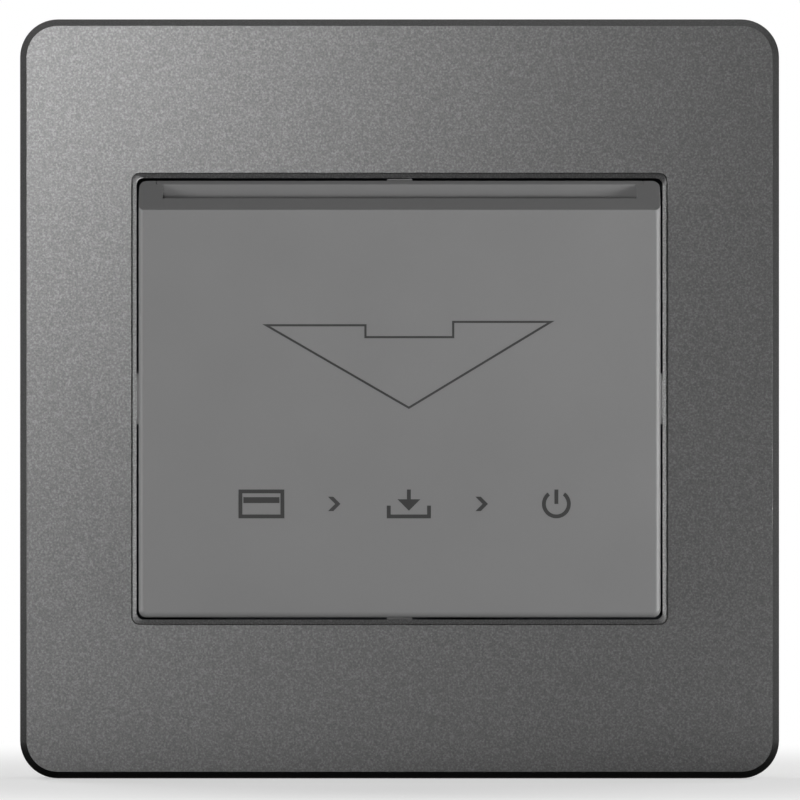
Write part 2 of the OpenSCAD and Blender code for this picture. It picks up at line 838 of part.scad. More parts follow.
module relay_pins() {
    color("#c8ccd0")
    for (p = relay_places)
        rod_y(relay_pin_r, p.x, p.y, y_board - pin_stub, y_board_back);
}

module film_capacitor() {
    color("#d9a520")
    slab(y_board_back + film_h, y_board_back)
        translate([film_x, film_z]) rounded_rect(film_l, film_w, 0.8);
}

module electrolytic_capacitor() {
    groove_r = 0.5;
    groove_y = y_board_back + 1.8;
    color("#1b1d24")
    difference() {
        rod_y(can_d / 2, can_x, can_z, y_board_back, y_board_back + can_h);
        translate([can_x, groove_y, can_z]) rotate([90, 0, 0])
            rotate_extrude() translate([can_d / 2 + 0.1, 0]) circle(groove_r);
    }
}

module varistor() {
    color("#2b5ca8")
        rod_z(varistor_d / 2, varistor_x, y_varistor, varistor_z - varistor_t / 2,
            varistor_z + varistor_t / 2);
}

module component_leads() {
    color("#c8ccd0") {
        for (p = lead_places)
            rod_y(lead_r, p.x, p.y, y_board - pin_stub, y_board_back);
        for (p = varistor_places)
            rod_y(lead_r, p.x, p.y, y_board - pin_stub, varistor_foot);
    }
}

// A row of small parts on the front of the board, centred on x and z
module board_row(x, z, size, step = 0, count = 1) {
    for (i = [0 : count - 1])
        translate([x + (i - (count - 1) / 2) * step, y_board - size.y / 2, z])
            cube(size, center = true);
}

module rectifier_diodes() {
    color("#2a2a2c") board_row(0, diode_z, diode, diode_step, 4);
}

module resistors() {
    color("#34363a") board_row(0, resistor_z, resistor, resistor_step, 3);
}

module timer_chip() {
    leg_w = 0.4;
    leg_step = 1.27;
    color("#1c1d1f") {
        board_row(chip_x, relay_z, chip);
        // four legs that reach past the upper and lower sides
        board_row(chip_x, relay_z, [leg_w, leg_w, chip.z + 2 * chip_leg], leg_step, 4);
    }
}

module driver_transistor() {
    leg_w = 0.4;
    leg = [leg_w, leg_w, transistor.z];
    leg_z = transistor.z / 2;
    color("#1c1d1f") {
        board_row(transistor_x, relay_z, transistor);
        board_row(transistor_x, relay_z + leg_z, leg);
        board_row(transistor_x, relay_z - leg_z, leg, transistor.x - 1, 2);
    }
}

module rear_housing() {
    color("#e4e3de")
    difference() {
        union() {
            difference() {
                slab(y_housing, 0) rounded_rect(housing_size, housing_size, housing_corner_r);
                slab(y_housing_in, -over)
                    square([housing_inner, housing_inner], center = true);
            }
            for (c = corners)
                rod_y(housing_boss_r, c.x * housing_boss, c.y * housing_boss, 0, y_housing_in + sink);
            for (x = both)
                rod_y(board_post_r, x * board_post_x, board_post_z, y_board_back, y_housing_in + sink);
        }
        for (c = corners)
            rod_y(housing_screw_r + thread_fit, c.x * housing_boss, c.y * housing_boss,
                -over, housing_screw_l);
        for (x = both)
            rod_y(board_screw_r + thread_fit, x * board_post_x, board_post_z,
                y_board_back - over, y_board + board_screw_l + sink);
        // opening for the terminal block
        block([-block_half - seat_fit, y_board_back - seat_fit, block_low - over],
            [block_half + seat_fit, y_housing + over, block_top + seat_fit]);
    }
}

module housing_screws() {
    color("#b9bcc0")
    for (c = corners)
        pan_screw(c.x * housing_boss, c.y * housing_boss, y_plate, housing_screw_r,
            housing_screw_l, housing_screw_head_r, housing_screw_head_h);
}

module terminal_block() {
    color("#f1efe9")
    difference() {
        block([-block_half, y_board_back, block_low], [block_half, y_housing, block_top]);
        for (x = terminal_xs) {
            // chamber of the brass pillar, open towards the board
            block([x - pillar_w / 2 - seat_fit, y_board_back - over, pillar_low - seat_fit],
                [x + pillar_w / 2 + seat_fit, y_pillar_back + seat_fit, pillar_top + seat_fit]);
            rod_z(wire_entry_r, x, y_wire, block_low - over, clamp_z);
            rod_y(driver_hole_r, x, clamp_z, y_pillar, y_housing + over);
        }
    }
}

module terminal_pillars() {
    color("#c9a24b")
    for (x = terminal_xs)
        difference() {
            union() {
                block([x - pillar_w / 2, y_pillar, pillar_low],
                    [x + pillar_w / 2, y_pillar_back, pillar_top]);
                rod_y(pillar_leg_r, x, clamp_z, y_board - pin_stub, y_pillar + sink);
            }
            rod_z(wire_bore_d / 2, x, y_wire, pillar_low - over, pillar_top + over);
            rod_y(clamp_screw_d / 2 + thread_fit, x, clamp_z, y_wire, y_pillar_back + over);
        }
}

module terminal_screws() {
    slot_w = 0.8;
    color("#b9bcc0")
    for (x = terminal_xs)
        difference() {
            union() {
                rod_y(clamp_screw_d / 2, x, clamp_z, clamp_tip, y_pillar_back + sink);
                rod_y(clamp_head_r, x, clamp_z, y_pillar_back, y_pillar_back + clamp_head_h);
            }
            translate([x, y_pillar_back + clamp_head_h, clamp_z])
                cube([2 * clamp_head_r + over, clamp_head_h, slot_w], center = true);
        }
}

face_frame();
card_panel();
card_cradle();
support_plate();
cradle_screws();
card_lever();
lever_pin();
lever_spring();
switch_case();
switch_cover();
switch_plunger();
switch_terminals();
circuit_board();
board_screws();
relay_base();
relay_case();
relay_pins();
film_capacitor();
electrolytic_capacitor();
varistor();
component_leads();
rectifier_diodes();
resistors();
timer_chip();
driver_transistor();
rear_housing();
housing_screws();
terminal_block();
terminal_pillars();
terminal_screws();
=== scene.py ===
# %% [markdown]
# # A hotel key card switch
# This switch hangs beside the door of a hotel room. The guest pushes the key card down into the
# slot along the top of the grey panel, and the lights of the room come on. A painted frame covers
# the edge of the wall box, and everything electric sits behind it. The CAD model gives each piece
# its size and place, so this lesson adds only what CAD leaves out: soft edges, print and finishes.

# %% Load the CAD frame
import json
import math

import bmesh
import bpy
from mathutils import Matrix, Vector

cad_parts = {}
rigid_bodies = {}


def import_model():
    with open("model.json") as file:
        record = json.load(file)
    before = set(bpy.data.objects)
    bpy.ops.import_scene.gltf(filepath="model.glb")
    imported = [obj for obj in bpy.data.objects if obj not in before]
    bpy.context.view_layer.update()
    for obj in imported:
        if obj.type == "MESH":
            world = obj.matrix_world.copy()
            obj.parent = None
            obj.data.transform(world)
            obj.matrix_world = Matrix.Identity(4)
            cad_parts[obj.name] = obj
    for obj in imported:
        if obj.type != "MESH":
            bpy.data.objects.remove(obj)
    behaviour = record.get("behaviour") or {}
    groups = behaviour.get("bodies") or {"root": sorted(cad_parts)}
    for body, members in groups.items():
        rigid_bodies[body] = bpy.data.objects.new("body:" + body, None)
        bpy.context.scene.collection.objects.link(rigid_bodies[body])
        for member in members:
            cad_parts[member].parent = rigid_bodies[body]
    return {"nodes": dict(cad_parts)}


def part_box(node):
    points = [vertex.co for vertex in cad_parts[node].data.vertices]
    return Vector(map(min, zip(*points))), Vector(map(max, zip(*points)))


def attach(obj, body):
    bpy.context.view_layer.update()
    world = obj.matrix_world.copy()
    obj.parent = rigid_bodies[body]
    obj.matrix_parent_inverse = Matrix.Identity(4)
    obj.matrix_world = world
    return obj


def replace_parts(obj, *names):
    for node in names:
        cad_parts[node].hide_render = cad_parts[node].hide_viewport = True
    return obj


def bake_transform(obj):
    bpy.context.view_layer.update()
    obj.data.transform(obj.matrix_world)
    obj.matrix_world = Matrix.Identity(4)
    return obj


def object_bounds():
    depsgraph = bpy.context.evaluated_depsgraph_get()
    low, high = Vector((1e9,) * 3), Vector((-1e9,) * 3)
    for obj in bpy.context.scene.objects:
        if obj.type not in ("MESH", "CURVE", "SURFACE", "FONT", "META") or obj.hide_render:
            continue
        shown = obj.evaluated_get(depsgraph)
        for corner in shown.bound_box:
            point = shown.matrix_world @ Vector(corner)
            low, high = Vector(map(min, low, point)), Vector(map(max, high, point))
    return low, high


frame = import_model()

mm = 0.001
root = "switch"
cad_low, cad_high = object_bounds()
print("CAD nodes:", len(frame["nodes"]), "box in mm:", [round(c / mm, 2) for c in cad_high - cad_low])

# %% [markdown]
# ## The bench
# Blender's operators act on whatever is selected, and loading leaves the CAD nodes selected. So
# each piece starts by dropping that selection and opening an empty mesh in edit mode. The mesh
# stays at the origin, with its place in its own vertices, as a CAD node's is. Parts of it are
# picked in code by where they are, because there is no mouse here.

# %% Helpers to begin, pick and end
mostly, hardly = 0.9, 0.1  # shares of a direction that lie along an axis
touching = 0.001 * mm  # corners closer than this are one corner


def begin(name):
    """Opens an empty mesh at the origin in edit mode, and nothing else is selected."""
    bpy.ops.object.select_all(action="DESELECT")
    bpy.ops.object.add(type="MESH", enter_editmode=True, location=(0, 0, 0))
    piece = bpy.context.object
    piece.name = piece.data.name = name
    bpy.ops.mesh.select_mode(type="VERT")
    return piece


def pick(kind, wanted):
    """In edit mode: selects the vertices, edges or faces that are wanted, by middle and direction."""
    bpy.ops.mesh.select_mode(type=kind)
    bpy.ops.mesh.select_all(action="DESELECT")
    mesh = bpy.context.object.data
    shape = bmesh.from_edit_mesh(mesh)
    shape.normal_update()
    if kind == "VERT":
        parts = [(v, v.co, v.normal) for v in shape.verts]
    elif kind == "EDGE":
        ends = [(e, e.verts[0].co, e.verts[1].co) for e in shape.edges]
        parts = [(e, (a + b) / 2, (b - a).normalized()) for e, a, b in ends]
    else:
        parts = [(f, f.calc_center_median(), f.normal) for f in shape.faces]
    for part, middle, way in parts:
        if wanted(middle, way):
            part.select_set(True)
    bmesh.update_edit_mesh(mesh)


def apply_modifier(piece, kind, **settings):
    """Adds one modifier and applies it, so the shape is in the mesh."""
    modifier = piece.modifiers.new(kind.title(), kind)
    for name, value in settings.items():
        setattr(modifier, name, value)
    bpy.context.view_layer.objects.active = piece
    bpy.ops.object.modifier_apply(modifier=modifier.name)


def smooth(piece, degrees):
    """Leaves edit mode, faces outwards, with the piece smooth across edges flatter than this."""
    bpy.ops.object.mode_set(mode="EDIT")
    bpy.ops.mesh.select_all(action="SELECT")
    bpy.ops.mesh.normals_make_consistent(inside=False)
    bpy.ops.object.mode_set(mode="OBJECT")
    bpy.ops.object.shade_smooth_by_angle(angle=math.radians(degrees))
    apply_modifier(piece, "WEIGHTED_NORMAL", keep_sharp=True, weight=100)


def end(piece, smooth_degrees=35):
    """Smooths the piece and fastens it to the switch."""
    smooth(piece, smooth_degrees)
    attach(piece, root)
    print(piece.name, "has", len(piece.data.polygons), "faces")
    return piece

# %% [markdown]
# ## Walls from rings
# The frame is a square shell with a window: a moulder would draw it as one wall profile that runs
# round the square. In Blender that is a row of rounded rectangles, joined one to the next. Each
# ring starts as a plane whose four corners are rounded by a vertex bevel. All rings have as many
# vertices, so the quads between two rings go from bearing to bearing round the middle. The bridge
# operator isn't used, because it may join two rings at one level a quarter turn apart, which closes
# the window. A ring carries the radius of its own edge as a bevel weight, so one Bevel modifier
# rounds every edge as the mould does.

# %% Helpers for rings
corner_steps, edge_steps, small_steps = 14, 4, 2


def ring(width, height, corner, y):
    """In edit mode: a rounded rectangle that faces the room at y, as a closed loop of edges."""
    bpy.ops.mesh.select_all(action="DESELECT")
    bpy.ops.mesh.primitive_plane_add(size=1, location=(0, y, 0), rotation=(math.pi / 2, 0, 0))
    bpy.ops.transform.resize(value=(width, 1, height))
    bpy.ops.mesh.bevel(affect="VERTICES", offset=corner, segments=corner_steps)
    bpy.ops.mesh.delete(type="ONLY_FACE")


def pick_ring(first, last):
    """In edit mode: selects the ring whose vertices have the numbers from first up to last."""
    bpy.ops.mesh.select_all(action="DESELECT")
    mesh = bpy.context.object.data
    shape = bmesh.from_edit_mesh(mesh)
    for v in shape.verts:
        if first <= v.index < last:
            v.select_set(True)
    shape.select_flush_mode()
    bmesh.update_edit_mesh(mesh)


def bearing(vertex):
    """The angle of a vertex round the middle of the frame, as seen from the room."""
    return math.atan2(vertex.co.z, vertex.co.x)


def join_rings(piece, rings):
    """Joins rings to a closed wall. A ring is its width, height, corner radius, y and edge radius."""
    spans = []
    for width, height, corner, y, _ in rings:
        first = len(bmesh.from_edit_mesh(piece.data).verts)
        ring(width, height, corner, y)
        spans.append((first, len(bmesh.from_edit_mesh(piece.data).verts)))
    shape = bmesh.from_edit_mesh(piece.data)
    shape.verts.ensure_lookup_table()
    loops = [sorted(shape.verts[first:last], key=bearing) for first, last in spans]
    for one, other in zip(loops, loops[1:] + loops[:1]):
        for i in range(len(one)):
            shape.faces.new((one[i - 1], one[i], other[i], other[i - 1]))
    bmesh.update_edit_mesh(piece.data)
    widest = max(edge for *_, edge in rings)
    for span, (*_, edge) in zip(spans, rings):
        pick_ring(*span)
        bpy.ops.transform.edge_bevelweight(value=edge / widest)
    bpy.ops.object.mode_set(mode="OBJECT")
    apply_modifier(piece, "BEVEL", limit_method="WEIGHT", width=widest, segments=edge_steps)

# %% [markdown]
# ## The wall frame
# The frame is moulded in polycarbonate and sprayed with metallic paint. From the room it shows its
# face, a narrow sloping edge all round and a smooth lip along the window, set off by a fine groove.
# The lip leans a little outwards, so it catches the lamps at the sides. Behind, the frame is hollow,
# with a collar round the window. A Boolean could cut the hollow, but it leaves long thin triangles
# that a bevel can't follow, so the wall is built ring by ring.

# %% Model the wall frame
frame_low, frame_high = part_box("face_frame")
panel_low, panel_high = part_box("card_panel")
y_face, y_wall = frame_low.y, frame_high.y
outer = frame_high.x - frame_low.x
outer_corner = 4.5 * mm
slope_width, slope_depth = 0.85 * mm, 1.9 * mm
face, face_corner = outer - 2 * slope_width, outer_corner - slope_width
frame_wall = 2 * mm
lug_reach = 0.25 * mm
panel_half_w, panel_half_h = panel_high.x - lug_reach, panel_high.z
window_gap, window_draft = 0.45 * mm, 0.51 * mm
window_back_w, window_back_h = 2 * (panel_half_w + window_gap), 2 * (panel_half_h + window_gap)
window_w, window_h = window_back_w + 2 * window_draft, window_back_h + 2 * window_draft
window_corner = 1 * mm
groove_w, groove_depth = 0.1 * mm, 0.18 * mm
lip_w, lip_fall = 0.53 * mm, 0.163 * mm
lip_outer_w, lip_outer_h = window_w - 2 * groove_w, window_h - 2 * groove_w
lip_inner_w, lip_inner_h = lip_outer_w - 2 * lip_w, lip_outer_h - 2 * lip_w
lip_corner, lip_inner_corner = window_corner - groove_w, 0.85 * mm
collar_wall, collar_depth = 1.4 * mm, 3.5 * mm
collar_w, collar_h = window_w + 2 * collar_wall, window_h + 2 * collar_wall
collar_corner = window_corner + collar_wall
y_collar, y_hollow = y_face + collar_depth, y_face + frame_wall
hollow = outer - 2 * frame_wall
hollow_corner = outer_corner - frame_wall
face_edge, groove_edge, lip_edge = 0.01 * mm, 0.04 * mm, 0.06 * mm
collar_edge, rim_edge, slope_edge = 0.15 * mm, 0.2 * mm, 0.12 * mm

wall_frame = begin("wall_frame")
join_rings(wall_frame, [
    (face, face, face_corner, y_face, face_edge),
    (window_w, window_h, window_corner, y_face, groove_edge),
    (lip_outer_w, lip_outer_h, lip_corner, y_face + groove_depth, 0),
    (lip_outer_w, lip_outer_h, lip_corner, y_face + lip_fall, groove_edge),
    (lip_inner_w, lip_inner_h, lip_inner_corner, y_face, lip_edge),
    (window_back_w, window_back_h, window_corner, y_collar, collar_edge),
    (collar_w, collar_h, collar_corner, y_collar, collar_edge),
    (collar_w, collar_h, collar_corner, y_hollow, 0),
    (hollow, hollow, hollow_corner, y_hollow, 0),
    (hollow, hollow, hollow_corner, y_wall, rim_edge),
    (outer, outer, outer_corner, y_wall, rim_edge),
    (outer, outer, outer_corner, y_face + slope_depth, slope_edge),
])
print("window in mm:", round(window_w / mm, 2), "by", round(window_h / mm, 2))

# %% [markdown]
# ## Hooks of the frame
# Four hooks at the back snap into the support plate. A hook is modelled once for each side, as a
# bar and a nose with softened edges, and its copy is turned into place about the middle of the frame.

# %% Add the hooks
def soft_bar(low, high, edge):
    """In edit mode: a bar between two corners with rounded edges, left selected."""
    bpy.ops.mesh.select_mode(type="VERT")
    bpy.ops.mesh.select_all(action="DESELECT")
    low, high = Vector(low), Vector(high)
    bpy.ops.mesh.primitive_cube_add(size=1, location=(low + high) / 2)
    bpy.ops.transform.resize(value=high - low)
    bpy.ops.mesh.bevel(affect="EDGES", offset=edge, segments=small_steps)
    bpy.ops.mesh.select_linked()


def copy_opposite():
    """In edit mode: copies what is selected and turns the copy half round the middle of the frame."""
    bpy.ops.mesh.duplicate()
    bpy.ops.transform.rotate(value=math.pi, orient_axis="Y", center_override=(0, 0, 0))


bar_root, bar_edge = 0.3 * mm, 0.08 * mm
hook_spread, hook_w, hook_t = 22 * mm, 8 * mm, 1.6 * mm
hook_rim, hook_end, hook_nose, hook_nose_h = 3.2 * mm, 0.3 * mm, 0.7 * mm, 0.85 * mm
hook_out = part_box("support_plate")[1].z - hook_rim

bpy.ops.object.mode_set(mode="EDIT")
for x in (-hook_spread, hook_spread):
    soft_bar((x - hook_w / 2, y_hollow - bar_root, hook_out - hook_t),
             (x + hook_w / 2, -hook_end, hook_out), bar_edge)
    copy_opposite()
    soft_bar((x - hook_w / 2, -hook_end - hook_nose_h, hook_out - bar_root),
             (x + hook_w / 2, -hook_end, hook_out + hook_nose), bar_edge)
    copy_opposite()
end(wall_frame)
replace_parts(wall_frame, "face_frame")

# %% [markdown]
# ## The card panel
# The raised panel is the front of the card pocket, moulded in satin grey plastic. A bar is rounded at
# its corners and front edges, and one straight cut makes the sloping strip along its top. The pocket is
# then cut out with two Boolean boxes, because a card-shaped space is what the moulder's core leaves.
# The face lies two hundredths of a millimetre behind the CAD face, which leaves room for the ink.
# Small lugs on its sides keep the frame's window centred. They show as light bridges across the dark
# gap, so they reach to the window's lip here.

# %% Model the card panel
ink = 0.02 * mm
y_front, y_skirt = panel_low.y + ink, panel_high.y
panel_corner, panel_corner_steps = 0.9 * mm, 8
panel_edge, panel_edge_steps = 0.7 * mm, 6
trim_edge, trim_degrees = 0.1 * mm, 34
strip_h = 3.5 * mm
slot_half = 28 * mm
skirt_play = 0.02 * mm
skirt_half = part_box("card_cradle")[1].x + skirt_play
pocket_wall = 1.8 * mm
y_pocket_front, y_pocket_back = -11 * mm, -9 * mm
pocket_floor = -panel_half_h + pocket_wall
beyond = 2 * mm
side_lug, end_lug = 6 * mm, 3 * mm
lug_sunk, lug_edge, lug_play = 0.02 * mm, 0.02 * mm, 0.005 * mm
y_lug = y_face + lug_sunk


def carve(piece, cutter):
    """Cuts the cutter's shape out of the piece and clears the cutter away."""
    bpy.ops.object.mode_set(mode="OBJECT")
    apply_modifier(piece, "BOOLEAN", object=cutter, operation="DIFFERENCE", solver="EXACT")
    bpy.data.objects.remove(cutter)


def cut_box(piece, low, high):
    """Cuts the box between two corners out of the piece."""
    cutter = begin("cutter")
    low, high = Vector(low), Vector(high)
    bpy.ops.mesh.primitive_cube_add(size=1, location=(low + high) / 2)
    bpy.ops.transform.resize(value=high - low)
    carve(piece, cutter)


card_panel = begin("card_panel_shell")
bpy.ops.mesh.primitive_cube_add(size=1, location=(0, (y_front + y_skirt) / 2, 0))
bpy.ops.transform.resize(value=(2 * panel_half_w, y_skirt - y_front, 2 * panel_half_h))
pick("EDGE", lambda middle, way: abs(way.y) > mostly)
bpy.ops.mesh.bevel(affect="EDGES", offset=panel_corner, segments=panel_corner_steps)
pick("EDGE", lambda middle, way: middle.y < y_front + ink and abs(way.y) < hardly)
bpy.ops.mesh.bevel(affect="EDGES", offset=panel_edge, segments=panel_edge_steps)
strip_foot = Vector((0, y_front, panel_half_h - strip_h))
strip_head = Vector((0, y_face, panel_half_h))
along_strip = (strip_head - strip_foot).normalized()
bpy.ops.mesh.select_all(action="SELECT")
bpy.ops.mesh.bisect(plane_co=strip_foot, plane_no=(0, -along_strip.z, along_strip.y),
                    use_fill=True, clear_outer=True, threshold=touching)
bpy.ops.object.mode_set(mode="OBJECT")
cut_box(card_panel, (-slot_half, y_pocket_front, pocket_floor),
        (slot_half, y_pocket_back + bar_root, panel_half_h + beyond))
cut_box(card_panel, (-skirt_half, y_pocket_back, pocket_floor),
        (skirt_half, y_skirt + beyond, panel_half_h + beyond))
apply_modifier(card_panel, "BEVEL", limit_method="ANGLE", angle_limit=math.radians(trim_degrees),
               width=trim_edge, segments=small_steps)
bpy.context.view_layer.objects.active = card_panel
card_panel.select_set(True)
bpy.ops.object.mode_set(mode="EDIT")
soft_bar((panel_half_w - bar_root, y_lug, -side_lug / 2),
         (lip_inner_w / 2 - lug_play, y_skirt, side_lug / 2), lug_edge)
copy_opposite()
soft_bar((-end_lug / 2, y_lug, -lip_inner_h / 2 + lug_play),
         (end_lug / 2, y_skirt, -panel_half_h + bar_root), lug_edge)
end(card_panel, smooth_degrees=40)
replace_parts(card_panel, "card_panel")

# %% [markdown]
# ## The print
# A pad printer stamps a thin film of dark ink on the panel: a wide arrow that points down from the
# slot, and below it a row of signs. Each mark is drawn as by hand, with a vertex extruded from corner
# to corner and the loop filled. An inset leaves only the line, and an extrusion gives the film its
# thickness.

# %% Helpers for the print
line, stroke = 0.25 * mm, 0.45 * mm
print_x = 1.1 * mm


def at(x, z):
    """A place on the panel's face, x to the right and z up from its middle."""
    return Vector((x, y_front, z))


def fill(points):
    """In edit mode: a flat mark between corners, drawn in turn and left selected."""
    corners = [at(x, z) for x, z in points]
    bpy.ops.mesh.select_mode(type="VERT")
    bpy.ops.mesh.select_all(action="DESELECT")
    bpy.ops.mesh.primitive_plane_add(size=line, location=corners[0])
    bpy.ops.mesh.merge(type="CENTER")
    for here, there in zip(corners, corners[1:]):
        bpy.ops.mesh.extrude_region_move(TRANSFORM_OT_translate={"value": there - here})
    tips = corners[0], corners[-1]
    pick("VERT", lambda middle, way: any((middle - tip).length < ink for tip in tips))
    bpy.ops.mesh.edge_face_add()
    bpy.ops.mesh.select_linked()
    bpy.ops.mesh.edge_face_add()
    bpy.ops.mesh.select_mode(type="FACE")


def hollow_out(width):
    """In edit mode: leaves only a line of this width inside the edge of the mark that is selected."""
    bpy.ops.mesh.inset(thickness=width)
    bpy.ops.mesh.delete(type="FACE")


def rectangle(x, z, width, height):
    """The corners of a rectangle round a middle."""
    return [(x + sx * width / 2, z + sz * height / 2) for sx, sz in ((-1, -1), (1, -1), (1, 1), (-1, 1))]


def thicken():
    """Gives the flat marks the thickness of the film, towards the room."""
    bpy.ops.mesh.select_all(action="SELECT")
    bpy.ops.mesh.extrude_region_move(TRANSFORM_OT_translate={"value": (0, -ink, 0)})
    bpy.ops.object.mode_set(mode="OBJECT")

# %% Print the arrow
arrow_left, arrow_right = (-16.2 * mm, 8.8 * mm), (18.3 * mm, 9.2 * mm)
arrow_tip = (print_x, -1.2 * mm)
notch_left, notch_right, notch_z = -3.9 * mm, 6.2 * mm, 7.4 * mm
arrow_print = begin("arrow_print")
fill([arrow_left, arrow_tip, arrow_right, (notch_right, arrow_right[1]), (notch_right, notch_z),
      (notch_left, notch_z), (notch_left, arrow_left[1])])
hollow_out(line)
thicken()
end(arrow_print)

# %% [markdown]
# ### The row of signs
# The signs tell the guest that a key card, put down into the slot, gives power. They are a card with
# its stripe, an arrow that goes down into a tray, and the sign for power, with a chevron between one
# and the next. The ring of the power sign is a circle with an inset, cut open at the top.

# %% Print the signs
sign_z, sign_h = -12.4 * mm, 3.4 * mm
sign_step = 8.7 * mm
sign_x = [print_x + i * sign_step for i in (-2, -1, 0, 1, 2)]
card_w, stripe_h, tray_w, tray_h = 5.4 * mm, 0.7 * mm, 5.2 * mm, 1.5 * mm
chevron_reach, chevron_w = sign_h / 4, 1.4 * stroke
shaft, barb = stroke / 2, 3 * stroke
power_steps = 48
top, bottom = sign_z + sign_h / 2, sign_z - sign_h / 2

signs_print = begin("signs_print")
fill(rectangle(sign_x[0], sign_z, card_w, sign_h))
hollow_out(stroke)
fill(rectangle(sign_x[0], sign_z + stroke, card_w - 2 * stroke - line, stripe_h))
for x in (sign_x[1], sign_x[3]):
    rear, low, high = x - chevron_reach, bottom + chevron_reach, top - chevron_reach
    fill([(rear, low), (x, sign_z), (rear, high),
          (rear + chevron_w, high), (x + chevron_w, sign_z), (rear + chevron_w, low)])
x = sign_x[2]
fill([(x - tray_w / 2, bottom + tray_h), (x - tray_w / 2, bottom), (x + tray_w / 2, bottom),
      (x + tray_w / 2, bottom + tray_h), (x + tray_w / 2 - stroke, bottom + tray_h),
      (x + tray_w / 2 - stroke, bottom + stroke), (x - tray_w / 2 + stroke, bottom + stroke),
      (x - tray_w / 2 + stroke, bottom + tray_h)])
tip = bottom + 2 * stroke
neck = tip + barb
fill([(x, tip), (x + barb, neck), (x + shaft, neck), (x + shaft, top),
      (x - shaft, top), (x - shaft, neck), (x - barb, neck)])
x = sign_x[4]
bpy.ops.mesh.select_all(action="DESELECT")
bpy.ops.mesh.primitive_circle_add(vertices=power_steps, radius=sign_h / 2, fill_type="NGON",
                                  location=at(x, sign_z), rotation=(math.pi / 2, 0, 0))
hollow_out(stroke)
pick("FACE", lambda middle, way: middle.z > sign_z and abs(middle.x - x) < 2 * stroke)
bpy.ops.mesh.delete(type="FACE")
fill(rectangle(x, top - sign_h / 4, stroke, sign_h / 2))
thicken()
end(signs_print)

# %% [markdown]
# ## Moulded parts behind the frame
# The CAD model already has the right shape for the cradle, the support plate, the rear housing and
# the terminal block, but its edges are knife-sharp, and no mould makes those. So each is copied, its
# triangles are joined into whole faces, and a small bevel rounds its edges, as the corners of a
# milled mould would.

# %% Soften the moulded parts
flat_degrees, sharp_degrees = 0.5, 40


def copy_node(node, name):
    """In edit mode: a copy of a CAD node, its loose triangles joined at their corners."""
    piece = begin(name)
    bpy.ops.object.mode_set(mode="OBJECT")
    piece.data = bpy.data.objects[node].data.copy()
    piece.data.name = name
    bpy.ops.object.mode_set(mode="EDIT")
    bpy.ops.mesh.select_all(action="SELECT")
    bpy.ops.mesh.remove_doubles(threshold=touching)
    bpy.ops.mesh.customdata_custom_splitnormals_clear()
    return piece


def soften(node, name, edge):
    """A copy of a CAD node with whole faces and rounded edges."""
    piece = copy_node(node, name)
    bpy.ops.mesh.dissolve_limited(angle_limit=math.radians(flat_degrees))
    bpy.ops.object.mode_set(mode="OBJECT")
    apply_modifier(piece, "BEVEL", limit_method="ANGLE", angle_limit=math.radians(sharp_degrees),
                   width=edge, segments=small_steps, use_clamp_overlap=False)
    return piece


for node, name, edge, slot in (
        ("card_cradle", "cradle_moulding", 0.1 * mm, "cradle_plastic"),
        ("support_plate", "plate_moulding", 0.12 * mm, "plate_plastic"),
        ("terminal_block", "terminal_moulding", 0.15 * mm, "terminal_plastic")):
    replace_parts(end(soften(node, name, edge)), node)

# %% [markdown]
# ### Marks sunk into the rear housing
# An electrician reads the terminals from behind, so a number is sunk into the housing above each of
# them, and a shallow field above leaves room for a label. The numbers are Blender's own text, turned
# to mesh. They are cut in after the bevel, which would swallow such small strokes.

# %% Soften the housing and sink its marks
housing_edge = 0.2 * mm
mark_depth, number_h, number_lift = 0.25 * mm, 3 * mm, 2.6 * mm
digit_share = 0.7  # height of a digit in a font of size 1
terminals, terminal_pitch = 4, 7.6 * mm
field_w, field_low, field_high = 36 * mm, -4 * mm, 17 * mm


def number_cutter(number, x, y, z):
    """A number as a solid that reaches through y, to be read from behind."""
    bpy.ops.object.select_all(action="DESELECT")
    bpy.ops.object.text_add(location=(x, y, z), rotation=(math.pi / 2, 0, math.pi))
    cutter = bpy.context.object
    cutter.data.body = str(number)
    cutter.data.size, cutter.data.extrude = number_h / digit_share, mark_depth
    cutter.data.align_x = "CENTER"
    bpy.ops.object.convert(target="MESH")
    bpy.ops.object.transform_apply(location=True, rotation=True, scale=True)
    bpy.ops.object.mode_set(mode="EDIT")
    bpy.ops.mesh.select_all(action="SELECT")
    bpy.ops.mesh.remove_doubles(threshold=touching)
    bpy.ops.mesh.normals_make_consistent(inside=False)
    return cutter


housing = soften("rear_housing", "housing_moulding", housing_edge)
y_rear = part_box("rear_housing")[1].y
z_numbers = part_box("terminal_block")[1].z + number_lift
cut_box(housing, (-field_w / 2, y_rear - mark_depth, field_low),
        (field_w / 2, y_rear + beyond, field_high))
for i in range(terminals):
    x = (i - (terminals - 1) / 2) * terminal_pitch
    carve(housing, number_cutter(terminals - i, x, y_rear, z_numbers))
housing.select_set(True)
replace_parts(end(housing), "rear_housing")

# %% [markdown]
# ## The return spring
# A spring of steel wire is wound about the lever's pin. One leg rests on the wall of the cradle, the
# other presses on the lever, and the coil twists when a card pushes the lever back. The CAD wire has
# six flat sides, so a subdivision rounds a copy of it.

# %% Round the return spring
spring = copy_node("lever_spring", "return_spring")
bpy.ops.mesh.tris_convert_to_quads()
bpy.ops.object.mode_set(mode="OBJECT")
apply_modifier(spring, "SUBSURF", levels=2, render_levels=2)
smooth(spring, degrees=60)
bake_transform(spring)
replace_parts(spring, "lever_spring")
print(spring.name, "has", len(spring.data.polygons), "faces")

# %% [markdown]
# ## Finishes
# A finish starts from the real material: what it is, how its surface was made, and what the eye gets
# from that. Colours are written as they look on a screen and turned to linear light by one function.
# One more function adds a node with its settings and links.

# %% Helpers for finishes
noise_range = 0.3, 0.7  # Blender's noise seldom leaves this range


